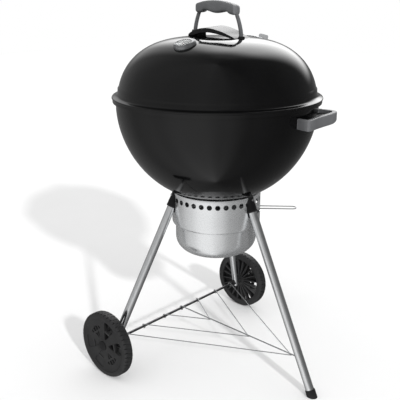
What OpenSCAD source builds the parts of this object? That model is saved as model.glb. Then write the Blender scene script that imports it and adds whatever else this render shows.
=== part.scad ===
// Kettle charcoal grill on a three-legged stand with two wheels.
// Millimetres, +Z up. The front leg points along -Y and the wheel axle lies along X.
// The origin is on the floor, under the middle of the bounding box.

/* [Overall] */
// Outer radius of the bowl wall under the rim
bowl_r = 281.6; // [260:0.1:300]
// Height of the level where the bowl wall turns vertical
bowl_top_z = 781.7; // [740:0.1:820]
// Depth of the bowl from that level to its underside
bowl_depth = 269.4; // [230:0.1:300]
// Outer radius of the lid dome at its flange
lid_r = 275.6; // [255:0.1:295]
// Level the lid dome's curve starts from
lid_base_z = 806.6; // [790:0.1:830]
// Height of the lid dome above that level
lid_rise = 161; // [130:0.1:190]
// Outer radius of the lid's rolled bead
bead_r = 292.5; // [285:0.1:310]
// Sheet thickness of the bowl and the lid
sheet = 2; // [1.2:0.1:3]

/* [Legs] */
// Outer radius of the leg tubes
tube_r = 12; // [10:0.1:14]
// Wall thickness of the leg tubes
tube_wall = 1.5; // [1:0.1:2.5]
// Distance of each leg line from the kettle axis at the socket level
socket_r = 125; // [110:0.5:140]
// Height of the socket level
socket_z = 517; // [500:0.5:530]
// Distance of the front foot from the kettle axis
front_foot_r = 364; // [330:1:400]
// Outer radius of the black leg collars
collar_r = 15.5; // [14:0.1:18]

/* [Wheels] */
// Wheel radius
wheel_r = 98.3; // [80:0.1:110]
// Wheel width
wheel_w = 34.6; // [28:0.1:45]
// Distance of the wheels' inner faces from the middle
wheel_in_x = 294.4; // [280:0.1:310]
// Distance of the axle behind the kettle axis
axle_back = 147.2; // [130:0.1:170]
// Axle radius
axle_r = 4; // [3:0.1:6]

/* [Ash catcher] */
// Outer radius of the perforated ring
ring_r = 129; // [120:0.5:135]
// Height of the ring's lower edge
ring_z0 = 436; // [420:1:450]
// Height of the ring's upper edge
ring_z1 = 536; // [520:1:537]
// Outer radius of the removable bucket
bucket_r = 119; // [110:0.5:119.5]
// Height of the bucket's underside
bucket_z = 350; // [330:1:380]
// Sheet thickness of the ring and the bucket
ash_sheet = 1.5; // [1:0.1:2]
// Number of round holes around the ring
ring_holes = 35; // [24:1:40]
// Radius of those holes
ring_hole_r = 6.7; // [4:0.1:8]

/* [Handles] */
// Half length of the lid handle's grip
grip_half = 74; // [60:1:90]
// Height of the top of the lid handle
grip_top_z = 1058.5; // [1040:0.5:1075]
// Radius of the lid handle's rod
rod_r = 5.3; // [4:0.1:6]
// Direction of the front bowl handle
handle_angle = -76; // [-90:1:-60]
// Direction of the rear bowl handle
rear_angle = 95; // [90:1:120]
// Reach of the bowl handles from the kettle axis
handle_reach = 334; // [325:1:350]

/* [Grates] */
// Height of the cooking grate's bars
grate_z = 776; // [760:0.5:785]
// Radius of the cooking grate's ring
grate_r = 265; // [250:0.5:270]
// Radius of the grate bars
bar_r = 2.5; // [2:0.1:4]
// Distance of the flaps' hinge bars from the middle
hinge_x = 145; // [120:1:160]
// Height of the charcoal grate's bars
coal_z = 640; // [600:1:680]
// Radius of the charcoal grate
coal_r = 208; // [180:1:215]

/* [Hidden] */
$fn = 64;

bowl_m = 2.1952;
bowl_k = 1.8422;
lid_m = 3.3061;
lid_k = 1.8695;
handle_round = 90;
front_tilt = atan((front_foot_r - socket_r) / socket_z);
foot_y = -front_foot_r - 14.2 / cos(front_tilt);
back_y = (handle_reach - handle_round) * sin(rear_angle) + handle_round;
axis_y = -(foot_y + back_y) / 2;
rim_z = 817;
axle_z = wheel_r;
front_top = [0, -socket_r, socket_z];
front_bottom = [0, -front_foot_r, 0];
side_bottom_x = 276.7;
side_top = [socket_r * cos(30), socket_r * sin(30), socket_z];
side_bottom = [side_bottom_x, axle_back, axle_z];
spine_rear = wheel_r + axle_r + 2.3;
spine_front = spine_rear - 1.2;
spine_end = -326;
spine_drop = (spine_rear - spine_front) / (axle_back - spine_end);
eye_r = axle_r + 1.9;
wire_r = 1.4;
thermo_angle = -171;
thermo_r = 160;
damper_x = 165;
lever_angle = -50;
lever_z = 480;

function lid_level(r) = lid_base_z + lid_rise * pow(1 - pow(r / lid_r, lid_m), 1 / lid_k);
function lid_tilt(r) = atan((lid_level(r - 1) - lid_level(r + 1)) / 2);
function bowl_level(r) = bowl_top_z - bowl_depth * pow(1 - pow(r / bowl_r, bowl_m), 1 / bowl_k);
function bowl_curve(r, d, step = 4) = [for (t = [0:step:88]) 
    [r * pow(sin(t), 2 / bowl_m), bowl_top_z - d * pow(cos(t), 2 / bowl_k)]];
function lid_curve(r, h, last = 80) = [for (t = [0:4:last])
    [r * pow(sin(t), 2 / lid_m), lid_base_z + h * pow(cos(t), 2 / lid_k)]];

// Everything is drawn about the kettle axis and shifted back to the bounding box's middle.
module placed() {
    translate([0, axis_y, 0]) children();
}

module mirrored_x() {
    children();
    mirror([1, 0, 0]) children();
}

// Moves a shape drawn along +Z from the origin onto the line that starts at a and runs to b.
module along(a, b) {
    d = b - a;
    translate(a) rotate([0, acos(d[2] / norm(d)), atan2(d[1], d[0])]) children();
}

module rod(a, b, r) {
    along(a, b) cylinder(h = norm(b - a), r = r);
}

module ring(r, wire) {
    rotate_extrude() translate([r, 0]) circle(r = wire, $fn = 24);
}

module arc(r, wire, from, to) {
    rotate([0, 0, from]) rotate_extrude(angle = to - from) translate([r, 0]) circle(r = wire, $fn = 24);
}

module bowl_fill(gap) {
    rotate_extrude() polygon(concat(
        bowl_curve(bowl_r + gap, bowl_depth + gap),
        [[bowl_r + gap, bowl_top_z], [bowl_r + gap, rim_z], [0, rim_z]]));
}

module lid_fill(gap) {
    rotate_extrude() polygon(concat(lid_curve(lid_r + gap, lid_rise + gap), [[0, lid_base_z]]));
}

// Frame standing on the lid's skin at radius r in the direction a, with +Z along the skin's normal.
module on_lid(r, a) {
    rotate([0, 0, a]) translate([r, 0, lid_level(r)]) rotate([0, lid_tilt(r), 0]) children();
}

// Places a child at each leg's socket, with +Z running down that leg.
module at_legs() {
    along(front_top, front_bottom) children();
    along(side_top, side_bottom) children();
    mirror([1, 0, 0]) along(side_top, side_bottom) children();
}

module bowl_shell() {
    color("#0c0c0d") placed() {
        difference() {
            rotate_extrude() polygon(concat(
                bowl_curve(bowl_r, bowl_depth),
                [[bowl_r, bowl_top_z], [bowl_r, 809], [284.5, 811.5], [286.6, 814],
                 [286.4, 816.2], [284.4, rim_z], [281.5, 816], [bowl_r - sheet, 812],
                 [bowl_r - sheet, bowl_top_z]],
                [for (t = [88:-4:0]) [(bowl_r - sheet) * pow(sin(t), 2 / bowl_m),
                    bowl_top_z - (bowl_depth - sheet) * pow(cos(t), 2 / bowl_k)]]));
            translate([0, 0, 480]) cylinder(h = 60, r = 6);
            // Three bottom vents between the sweeper blades
            for (a = [0:120:240]) rotate([0, 0, a + 24]) vent_sector();
        }
    }
}

module vent_sector() {
    translate([0, 0, 495]) rotate_extrude(angle = 26) translate([55, 0]) square([55, 60]);
}

// Plan of a bowl handle, drawn with the reach along +X.
module handle_plan(inset) {
    difference() {
        intersection() {
            translate([handle_reach - handle_round, 0]) circle(r = handle_round - inset);
            translate([230, -84 + inset]) square([140, 168 - 2 * inset]);
        }
        circle(r = 240);
    }
}

module handle_body() {
    difference() {
        translate([0, 0, 748]) linear_extrude(30) handle_plan(0);
        translate([0, 0, 740]) linear_extrude(50) handle_plan(15);
        bowl_fill(0.05);
        // The lower outer edge is cut back, so the bar is shallower at its end
        translate([handle_reach + 12, 0, 736]) rotate([0, -28, 0]) cube([60, 200, 40], center = true);
    }
}

module plate_body() {
    difference() {
        translate([0, 0, 767]) linear_extrude(2.4) handle_plan(15.05);
        bowl_fill(0.05);
    }
    // Upright strap against the bowl
    difference() {
        translate([0, 0, 752]) intersection() {
            difference() {
                cylinder(h = 15, r = bowl_r + 3);
                translate([0, 0, -1]) cylinder(h = 17, r = bowl_r - 8);
            }
            translate([260, -60.9, 0]) cube([40, 121.8, 15]);
        }
        bowl_fill(0.05);
    }
}

module bowl_handle_front() {
    color("#5d5e60") placed() rotate([0, 0, handle_angle]) handle_body();
}

module bowl_handle_rear() {
    color("#5d5e60") placed() rotate([0, 0, rear_angle]) handle_body();
}

module handle_plate_front() {
    color("#111112") placed() rotate([0, 0, handle_angle]) plate_body();
}

module handle_plate_rear() {
    color("#111112") placed() rotate([0, 0, rear_angle]) plate_body();
}

module bowl_handle_screws() {
    color("#8d8f92") placed() for (a = [handle_angle, rear_angle], s = [-14.2, 14.2])
        rotate([0, 0, a + s]) translate([274.4, 0, 760]) rotate([0, 90, 0]) cylinder(h = 2.9, r = 5.5);
}

module grate_brackets() {
    color("#3c3d3f") placed() intersection() {
        bowl_fill(-sheet - 0.05);
        union() {
            for (a = [35, 68, 112, 145, 215, 248, 292, 325]) rotate([0, 0, a]) {
                translate([256, -9, grate_z - bar_r - 3.2]) cube([40, 18, 2.6]);
            }
            for (a = [45:90:315]) rotate([0, 0, a]) {
                translate([196, -9, coal_z - 3 - 8.2]) cube([60, 18, 2.6]);
            }
        }
    }
}

module leg_sockets() {
    color("#161617") placed() difference() {
        at_legs() translate([0, 0, -60]) cylinder(h = 78, r = tube_r - tube_wall - 0.1);
        bowl_fill(0.05);
    }
}

module leg_collars() {
    color("#151516") placed() difference() {
        at_legs() difference() {
            translate([0, 0, -60]) cylinder(h = 86, r = collar_r);
            translate([0, 0, -61]) cylinder(h = 88, r = tube_r + 0.1);
            // Seat of the button
            rotate([0, 0, 180]) translate([collar_r - 1.25, 0, -7]) rotate([0, 90, 0])
                cylinder(h = 4, r = 3.65);
        }
        bowl_fill(0.3);
    }
}

module leg_buttons() {
    color("#c9ccd0") placed() at_legs() rotate([0, 0, 180]) translate([collar_r - 1.2, 0, -7])
        rotate([0, 90, 0]) cylinder(h = 3, r = 3.6);
}

module leg_tube(a, b, tail) {
    along(a, b) difference() {
        translate([0, 0, -24]) cylinder(h = norm(b - a) + 24 + tail, r = tube_r);
        translate([0, 0, -30]) cylinder(h = norm(b - a) + 40 + tail, r = tube_r - tube_wall);
    }
}

module leg_front() {
    color("#b9bcc0") placed() difference() {
        leg_tube(front_top, front_bottom, -10);
        bowl_fill(0.5);
        // Bore for the rack's end
        rod([0, -340, spine_front], [0, -280, spine_front + 0.15], 2.25);
    }
}

module side_leg() {
    difference() {
        leg_tube(side_top, side_bottom, 10);
        bowl_fill(0.5);
        translate([200, axle_back, axle_z]) rotate([0, 90, 0]) cylinder(h = 150, r = axle_r + 0.05);
    }
}

module leg_right() {
    color("#b9bcc0") placed() side_leg();
}

module leg_left() {
    color("#b9bcc0") placed() mirror([1, 0, 0]) side_leg();
}

module foot_cap() {
    color("#141415") placed() intersection() {
        difference() {
            along(front_bottom, front_top) translate([0, 0, -20]) cylinder(h = 50, r = 14.2);
            along(front_bottom, front_top) translate([0, 0, 9.9]) cylinder(h = 50, r = tube_r + 0.1);
        }
        translate([0, -front_foot_r, 50]) cube([80, 80, 100], center = true);
    }
}

module leg_plugs() {
    color("#151516") placed() mirrored_x() difference() {
        union() {
            along(side_bottom, side_top) translate([0, 0, -13]) cylinder(h = 2.95, r = tube_r);
            along(side_bottom, side_top) translate([0, 0, -11])
                cylinder(h = 30, r = tube_r - tube_wall - 0.1);
        }
        translate([200, axle_back, axle_z]) rotate([0, 90, 0]) cylinder(h = 150, r = axle_r + 0.05);
    }
}

module axle() {
    color("#4a4b4e") placed() translate([-332.6, axle_back, axle_z]) rotate([0, 90, 0])
        cylinder(h = 665.2, r = axle_r);
}

module axle_spacers() {
    color("#151516") placed() mirrored_x() difference() {
        translate([0, axle_back, axle_z]) rotate([0, 90, 0]) {
            translate([0, 0, 276]) cylinder(h = 17.8, r = 10.5);
            translate([0, 0, 257]) cylinder(h = 18, r = 9);
        }
        along(side_top, side_bottom) cylinder(h = norm(side_bottom - side_top) + 40, r = tube_r + 0.1);
        translate([200, axle_back, axle_z]) rotate([0, 90, 0]) cylinder(h = 150, r = axle_r + 0.05);
    }
}

// Hook ring around the axle, with its wire meeting the ring at the top.
module axle_eye(x) {
    translate([x, axle_back, axle_z]) rotate([0, 90, 0]) ring(eye_r, wire_r - 0.15);
}

module rack_wire(half, apex_back) {
    top = axle_z + eye_r - 0.2;
    apex = spine_rear - (axle_back - apex_back) * spine_drop - 3.1;
    difference() {
        for (s = [-1, 1]) {
            rod([s * half, axle_back, top], [0, apex_back, apex], wire_r);
            axle_eye(s * half);
        }
        rod([0, axle_back, spine_rear], [0, spine_end, spine_front], 2.02);
    }
}

module rack_spine() {
    color("#c6c9cc") placed() {
        rod([0, axle_back, spine_rear], [0, spine_end, spine_front], 2);
        translate([0, axle_back, axle_z]) rotate([0, 90, 0]) ring(axle_r + 2, 1.6);
    }
}

module rack_wire_inner() {
    color("#c6c9cc") placed() rack_wire(77, 22);
}

module rack_wire_middle() {
    color("#c6c9cc") placed() rack_wire(166, -134);
}

module rack_wire_outer() {
    color("#c6c9cc") placed() rack_wire(244, -289);
}

module charcoal_grate() {
    color("#5a5b5e") placed() {
        translate([0, 0, coal_z]) ring(coal_r, 3);
        for (i = [-6:6]) {
            x = i * 30;
            y = sqrt(coal_r * coal_r - x * x);
            translate([x, -y, coal_z]) rotate([-90, 0, 0]) cylinder(h = 2 * y, r = 3);
        }
        for (y = [-90, 90]) {
            x = sqrt(coal_r * coal_r - y * y);
            translate([-x, y, coal_z - 5]) rotate([0, 90, 0]) cylinder(h = 2 * x, r = 3);
        }
    }
}

module cooking_grate() {
    edge = acos(hinge_x / grate_r) - 0.6;
    step = hinge_x / 8;
    color("#9a9da1") placed() translate([0, 0, grate_z]) {
        arc(grate_r, bar_r + 0.6, edge, 180 - edge);
        arc(grate_r, bar_r + 0.6, 180 + edge, 360 - edge);
        for (i = [-8:8]) {
            x = i * step;
            y = sqrt(grate_r * grate_r - x * x);
            translate([x, -y, 0]) rotate([-90, 0, 0]) cylinder(h = 2 * y, r = bar_r, $fn = 24);
        }
        for (y = [-150, -50, 50, 150]) {
            translate([-hinge_x - 1.1, y, -3.7]) rotate([0, 90, 0])
                cylinder(h = 2 * hinge_x + 2.2, r = bar_r - 0.3, $fn = 24);
        }
        // Two lifting handles
        for (s = [-1, 1]) translate([0, s * (grate_r - 26), 0]) {
            for (x = [-2 * step, 2 * step]) translate([x, 0, 0])
                cylinder(h = 16.3, r = bar_r - 0.4, $fn = 24);
            translate([-2 * step - 3, 0, 16]) rotate([0, 90, 0])
                cylinder(h = 4 * step + 6, r = bar_r, $fn = 24);
        }
    }
}

// One hinged end of the cooking grate, drawn at +X.
module flap_body() {
    first = hinge_x + 20;
    edge = acos(first / grate_r) + 0.6;
    difference() {
        translate([0, 0, grate_z]) {
            arc(grate_r, bar_r, -edge, edge);
            for (x = [first:20:first + 80]) {
                y = sqrt(grate_r * grate_r - x * x);
                translate([x, -y, 0]) rotate([-90, 0, 0]) cylinder(h = 2 * y, r = bar_r, $fn = 24);
            }
            for (y = [-80, 80]) {
                x = sqrt(grate_r * grate_r - y * y);
                translate([hinge_x + 3.6, y, -3.2]) rotate([0, 90, 0])
                    cylinder(h = x - hinge_x - 4.6, r = bar_r, $fn = 24);
                translate([hinge_x, y, 0]) rotate([90, 0, 0])
                    cylinder(h = 7, r = bar_r + 2.6, center = true);
            }
        }
        translate([hinge_x, 0, grate_z]) rotate([90, 0, 0])
            cylinder(h = 200, r = bar_r + 0.08, center = true);
    }
}

module grate_flap_right() {
    color("#9a9da1") placed() flap_body();
}

module grate_flap_left() {
    color("#9a9da1") placed() mirror([1, 0, 0]) flap_body();
}

module ash_ring() {
    first = 223.3;
    color("#c9cbcd") placed() difference() {
        rotate_extrude() polygon([
            [ring_r, ring_z1], [ring_r, ring_z0 + 7], [ring_r - 3, ring_z0 + 2],
            [bucket_r + 1.6, ring_z0], [bucket_r + 1.6, ring_z0 + ash_sheet],
            [ring_r - 3.6, ring_z0 + 3.6], [ring_r - ash_sheet, ring_z0 + 7.6],
            [ring_r - ash_sheet, ring_z1]]);
        for (i = [0:ring_holes - 1]) {
            a = first + i * 360 / ring_holes;
            rotate([0, 0, a]) translate([ring_r - 15, 0, 517]) rotate([0, 90, 0])
                cylinder(h = 30, r = ring_hole_r);
        }
        at_legs() translate([0, 0, -60]) cylinder(h = 130, r = collar_r - 0.1);
        // Slot for the lever
        translate([0, 0, lever_z - 5]) rotate([0, 0, lever_angle - 34]) rotate_extrude(angle = 68)
            translate([ring_r - 8, 0]) square([16, 10]);
    }
}

module ash_bucket() {
    r = bucket_r;
    c = 46;
    t = ash_sheet;
    color("#c4c6c8") placed() rotate_extrude() polygon(concat(
        [[0, bucket_z]],
        [for (a = [-90:6:0]) [r - c + c * cos(a), bucket_z + c + c * sin(a)]],
        [[r, 452], [r - t, 452]],
        [for (a = [0:-6:-90]) [r - c + (c - t) * cos(a), bucket_z + c + (c - t) * sin(a)]],
        [[0, bucket_z + t]]));
}

module sweeper_shaft() {
    color("#77797c") placed() {
        translate([0, 0, 466]) cylinder(h = 62, r = 5);
        translate([0, 0, 521.5]) cylinder(h = 5, r = 16);
    }
}

module sweeper_blades() {
    color("#4b4c4f") placed() difference() {
        union() {
            for (a = [0:120:240]) rotate([0, 0, a - 3]) rotate_extrude(angle = 26) polygon(concat(
                [for (t = [4:4:36]) [(bowl_r - sheet - 1) * pow(sin(t), 2 / bowl_m),
                    bowl_top_z - (bowl_depth - sheet - 1) * pow(cos(t), 2 / bowl_k)]],
                [for (t = [36:-4:4]) [(bowl_r - sheet - 3) * pow(sin(t), 2 / bowl_m),
                    bowl_top_z - (bowl_depth - sheet - 3) * pow(cos(t), 2 / bowl_k)]]));
            translate([0, 0, 517.3]) cylinder(h = 4.1, r = 40);
        }
        translate([0, 0, 500]) cylinder(h = 40, r = 5.1);
        translate([0, 0, 521.4]) cylinder(h = 10, r = 16.1);
    }
}

module vent_lever() {
    w = 12;
    reach = 222;
    color("#b4b6b9") placed() rotate([0, 0, lever_angle]) translate([0, 0, lever_z]) difference() {
        union() {
            translate([0, 0, -5]) cylinder(h = 10, r = 15);
            for (s = [-1, 1]) translate([1, s * w, 0]) rotate([0, 90, 0])
                cylinder(h = reach - 1, r = 1.5, $fn = 24);
            translate([reach, 0, 0]) arc(w, 1.5, -90, 90);
        }
        translate([0, 0, -6]) cylinder(h = 12, r = 5.02);
    }
}

module lid_shell() {
    color("#0c0c0d") placed() difference() {
        union() {
            rotate_extrude() polygon(concat(
                lid_curve(lid_r, lid_rise),
                [[275.4, 833], [278.5, 830.2], [287.5, 820.5], [290.2, 815.5], [291, 810.5],
                 [bead_r, 808.8], [bead_r, 804.8], [291, 803.2], [291, 795], [289, 795],
                 [289, 811], [288, 815.5], [285.6, 819.2], [276.6, 828.6], [273, 832.2]],
                [for (t = [80:-4:0]) [(lid_r - sheet) * pow(sin(t), 2 / lid_m),
                    lid_base_z + (lid_rise - sheet) * pow(cos(t), 2 / lid_k)]]));
        }
        on_lid(damper_x, 0) for (a = [0:90:270]) rotate([0, 0, a]) translate([19, 0, -30])
            cylinder(h = 60, r = 7.5);
        on_lid(damper_x, 0) translate([0, 0, -30]) cylinder(h = 60, r = 2.6);
        on_lid(thermo_r, thermo_angle) translate([0, 0, -30]) cylinder(h = 60, r = 5.1);
        for (s = [-1, 1]) translate([0, s * 84, 900]) cylinder(h = 100, r = rod_r + 0.2);
    }
}

module handle_rod(gap) {
    for (s = [-1, 1]) {
        translate([0, s * 84, 952]) cylinder(h = 30, r = rod_r + gap);
        translate([0, s * 84, 982]) sphere(r = rod_r + gap);
        rod([0, s * 84, 982], [0, s * 64.9, 1040 + gap], rod_r + gap);
    }
}

module lid_handle_rod() {
    color("#5d5e60") placed() handle_rod(0);
}

module lid_handle_grip() {
    color("#5d5e60") placed() difference() {
        translate([12, 0, 0]) rotate([0, -90, 0]) linear_extrude(24) intersection() {
            difference() {
                translate([grip_top_z - 300, 0]) circle(r = 300, $fn = 128);
                // Scalloped underside between two deeper ends
                translate([1035 - 120, 0]) circle(r = 120);
                for (s = [-1, 1]) translate([1027 - 60, s * 66]) circle(r = 60);
            }
            translate([1020, -grip_half]) square([60, 2 * grip_half]);
        }
        handle_rod(0.05);
    }
}

module lid_handle_nuts() {
    color("#8d8f92") placed() for (s = [-1, 1]) translate([0, s * 84, 0]) difference() {
        translate([0, 0, 953]) cylinder(h = 6.5, r = 8, $fn = 6);
        translate([0, 0, 940]) cylinder(h = 40, r = rod_r + 0.05);
    }
}

module lid_foot_block() {
    color("#131314") placed() for (s = [-1, 1]) difference() {
        translate([0, s * 84, 960]) cylinder(h = s > 0 ? 20 : 10, r = 9);
        translate([0, s * 84, 940]) cylinder(h = 60, r = rod_r + 0.05);
        lid_fill(0.05);
    }
}

module lid_heat_shield() {
    big = 150.6;
    color("#0c0c0d") placed() difference() {
        translate([40, 0, 991 - big]) rotate([0, -90, 0]) linear_extrude(72) intersection() {
            difference() {
                circle(r = big, $fn = 128);
                circle(r = big - 1.4, $fn = 128);
            }
            translate([big - 26.5, -100]) square([40, 200]);
        }
        for (s = [-1, 1]) translate([0, s * 84, 940]) cylinder(h = 60, r = 9.3);
        lid_fill(0.05);
    }
}

module thermometer_case() {
    color("#8b8d90") placed() difference() {
        on_lid(thermo_r, thermo_angle) {
            union() {
                translate([0, 0, -12]) rotate_extrude() polygon([
                    [0, 0], [27, 0], [27.4, 14], [26.2, 18.5], [23, 21.5], [21.4, 21.5], [20.6, 19.4],
                    [20.6, 17], [0, 17]]);
                // Nose of the housing
                rotate([0, 0, 145]) translate([20.8, 0, -12]) linear_extrude(17.5)
                    polygon([[0, -15], [14, -8], [18.5, -3.5], [18.5, 3.5], [14, 8], [0, 15]]);
            }
        }
        lid_fill(0.05);
        on_lid(thermo_r, thermo_angle) translate([0, 0, -20]) cylinder(h = 60, r = 5.05);
    }
}

module thermometer_dial() {
    color("#e8e8e4") placed() on_lid(thermo_r, thermo_angle) difference() {
        translate([0, 0, 5.05]) cylinder(h = 0.8, r = 20.4);
        cylinder(h = 20, r = 1.3);
    }
}

module thermometer_lens() {
    color("#d8e2e6") placed() on_lid(thermo_r, thermo_angle) translate([0, 0, 8])
        cylinder(h = 1, r = 20.5);
}

module thermometer_stem() {
    color("#8d8f92") placed() on_lid(thermo_r, thermo_angle) {
        translate([0, 0, -60]) cylinder(h = 64.9, r = 3);
        translate([0, 0, 4]) cylinder(h = 3.7, r = 1);
        translate([0, 0, -7.2]) cylinder(h = 4.8, r = 9, $fn = 6);
    }
}

module thermometer_needle() {
    color("#c22a1e") placed() on_lid(thermo_r, thermo_angle) difference() {
        union() {
            translate([0, 0, 6.1]) cylinder(h = 1.4, r = 2.4);
            translate([-5, -0.7, 6.4]) cube([20.5, 1.4, 0.8]);
        }
        cylinder(h = 20, r = 1.06);
    }
}

module damper_rivet() {
    color("#9a9da1") placed() on_lid(damper_x, 0) {
        translate([0, 0, -4.6]) cylinder(h = 11, r = 2.5);
        translate([0, 0, 5.2]) cylinder(h = 2, r = 5.5);
        translate([0, 0, -4.6]) cylinder(h = 2, r = 6);
    }
}

module lid_damper_disc() {
    color("#b9bcbf") placed() on_lid(damper_x, 0) difference() {
        union() {
            translate([0, 0, 1.7]) cylinder(h = 1.6, r = 33.5);
            translate([0, 0, 1.7]) cylinder(h = 3.2, r = 8);
        }
        for (a = [0:90:270]) rotate([0, 0, a]) translate([19, 0, -5]) cylinder(h = 20, r = 7.5);
        translate([0, 0, -5]) cylinder(h = 20, r = 2.56);
    }
}

module lid_damper_tab() {
    color("#5d5e60") placed() on_lid(damper_x, 0) rotate([0, 0, -45]) translate([0, 2, 0])
        rotate([90, 0, 0]) linear_extrude(4) {
            translate([8.5, 3.35]) square([27.5, 7]);
            translate([14, 5]) square([16.5, 10.85]);
            for (x = [14, 30.5]) translate([x, 10.35]) circle(r = 5.5);
        }
}

// A plastic wheel drawn with its inner face on Z = 0 and its axle along Z.
module wheel_body() {
    difference() {
        union() {
            rotate_extrude() polygon([
                [76, 2], [92, 0.6], [96.5, 3], [wheel_r, 7], [wheel_r, wheel_w - 7],
                [96.5, wheel_w - 3], [92, wheel_w - 0.6], [78, wheel_w - 2.4], [76, wheel_w - 6]]);
            translate([0, 0, 16]) cylinder(h = 7, r = 80);
            cylinder(h = wheel_w - 0.5, r = 17);
            for (a = [0:36:324]) rotate([0, 0, a]) translate([14, -1.6, 5]) cube([64, 3.2, 16]);
        }
        translate([0, 0, -1]) cylinder(h = wheel_w + 2, r = axle_r + 0.08);
        // Five groups of triangular windows
        for (a = [0:72:288]) rotate([0, 0, a + 18]) {
            window(30, 52, 9);
            window(56, 71, 13);
        }
        // Tread notches on both shoulders
        for (a = [0:10:350]) {
            rotate([0, 0, a]) translate([94.5, -2, -1]) cube([10, 4, 13]);
            rotate([0, 0, a + 5]) translate([94.5, -2, wheel_w - 12]) cube([10, 4, 13]);
        }
    }
}

module window(r0, r1, half) {
    translate([0, 0, 10]) linear_extrude(20) {
        polygon([[r0, 2.2], [r1, 2.2], [r1, half * 2]]);
        polygon([[r0, -2.2], [r1, -half * 2], [r1, -2.2]]);
    }
}

module wheel_right() {
    color("#1b1b1c") placed() translate([wheel_in_x, axle_back, axle_z]) rotate([0, 90, 0]) wheel_body();
}

module wheel_left() {
    color("#1b1b1c") placed() mirror([1, 0, 0]) translate([wheel_in_x, axle_back, axle_z])
        rotate([0, 90, 0]) wheel_body();
}

module cap_body() {
    translate([wheel_in_x + wheel_w - 0.45, axle_back, axle_z]) rotate([0, 90, 0]) difference() {
        union() {
            cylinder(h = 3, r = 15);
            translate([0, 0, 3]) cylinder(h = 2.6, r1 = 15, r2 = 11);
        }
        translate([0, 0, -1]) cylinder(h = 5.4, r = axle_r + 0.08);
    }
}

module hubcap_right() {
    color("#222223") placed() cap_body();
}

module hubcap_left() {
    color("#222223") placed() mirror([1, 0, 0]) cap_body();
}

bowl_shell();
bowl_handle_front();
bowl_handle_rear();
handle_plate_front();
handle_plate_rear();
bowl_handle_screws();
grate_brackets();
leg_sockets();
leg_collars();
leg_buttons();
leg_front();
leg_left();
leg_right();
foot_cap();
leg_plugs();
axle();
axle_spacers();
rack_spine();
rack_wire_inner();
rack_wire_middle();
rack_wire_outer();
charcoal_grate();
cooking_grate();
ash_ring();
ash_bucket();
sweeper_shaft();
sweeper_blades();
vent_lever();
grate_flap_left();
grate_flap_right();
lid_shell();
lid_handle_rod();
lid_handle_grip();
lid_handle_nuts();
lid_foot_block();
lid_heat_shield();
thermometer_case();
thermometer_dial();
thermometer_lens();
thermometer_stem();
thermometer_needle();
damper_rivet();
lid_damper_disc();
lid_damper_tab();
wheel_left();
wheel_right();
hubcap_left();
hubcap_right();
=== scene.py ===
import math

import bpy
import bmesh
from mathutils import Matrix, Vector


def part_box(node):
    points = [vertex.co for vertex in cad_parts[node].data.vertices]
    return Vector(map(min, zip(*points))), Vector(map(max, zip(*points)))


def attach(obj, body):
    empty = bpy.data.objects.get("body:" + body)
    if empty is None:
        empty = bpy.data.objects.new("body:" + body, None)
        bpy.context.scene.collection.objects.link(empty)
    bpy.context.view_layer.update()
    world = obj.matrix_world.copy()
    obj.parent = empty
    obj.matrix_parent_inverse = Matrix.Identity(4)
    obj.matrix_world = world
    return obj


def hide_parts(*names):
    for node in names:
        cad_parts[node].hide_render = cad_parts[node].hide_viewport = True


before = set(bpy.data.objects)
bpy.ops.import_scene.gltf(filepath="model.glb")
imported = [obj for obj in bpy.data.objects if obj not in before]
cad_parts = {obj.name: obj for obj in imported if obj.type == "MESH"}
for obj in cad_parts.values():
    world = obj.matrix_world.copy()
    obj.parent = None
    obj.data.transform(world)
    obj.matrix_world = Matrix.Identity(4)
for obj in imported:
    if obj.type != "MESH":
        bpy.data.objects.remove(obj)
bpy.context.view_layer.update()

# ---------------------------------------------------------------- frame
lid_lo, lid_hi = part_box("lid_shell")
AXIS_Y = (lid_lo[1] + lid_hi[1]) / 2
BOWL_R, BOWL_TOP, BOWL_DEPTH, BOWL_M, BOWL_K = 0.2816, 0.7817, 0.2694, 2.1952, 1.8422
LID_R, LID_BASE, LID_RISE, LID_M, LID_K = 0.2756, 0.8066, 0.161, 3.3061, 1.8695
SHEET = 0.002
TUBE_R = 0.012
AXLE_Z, AXLE_BACK = 0.0983, 0.1472
RIM_LEVEL = 0.8345  # the lid's own curve stops here and its flange takes over
HOLE_RING, HOLE_R = 0.019, 0.0075  # the lid's four vent holes, about the damper's axis
AXLE_END, CAP_OUT = 0.2944, 0.03415  # inner face of a wheel, and its cap beyond that
FOOT_R, FOOT_TOP = 0.364, 0.517  # the front leg's foot, and the level where the legs begin
GRAIN_DEPTH, PEEL_DEPTH = 0.0002, 0.0005
SIN, COS, PI = math.sin, math.cos, math.pi


def K(x, y, z):
    """A point about the kettle's axis, in metres, in the row frame."""
    return Vector((x, y + AXIS_Y, z))


def lid_level(r):
    return LID_BASE + LID_RISE * (1 - (r / LID_R) ** LID_M) ** (1 / LID_K)


def lid_frame(r, angle):
    """Frame on the lid's skin: +Z along its normal."""
    tilt = math.atan((lid_level(r - 0.001) - lid_level(r + 0.001)) / 0.002)
    return (Matrix.Translation((0, AXIS_Y, 0)) @ Matrix.Rotation(angle, 4, "Z")
            @ Matrix.Translation((r, 0, lid_level(r))) @ Matrix.Rotation(tilt, 4, "Y"))


def line_frame(a, b):
    """Frame at a with +Z towards b."""
    d = (b - a).normalized()
    return Matrix.Translation(a) @ d.to_track_quat("Z", "Y").to_matrix().to_4x4()


# ---------------------------------------------------------------- materials
def node_tree(name):
    m = bpy.data.materials.new(name)
    m.use_nodes = True
    nt = m.node_tree
    return m, nt, nt.nodes["Principled BSDF"]


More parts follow.
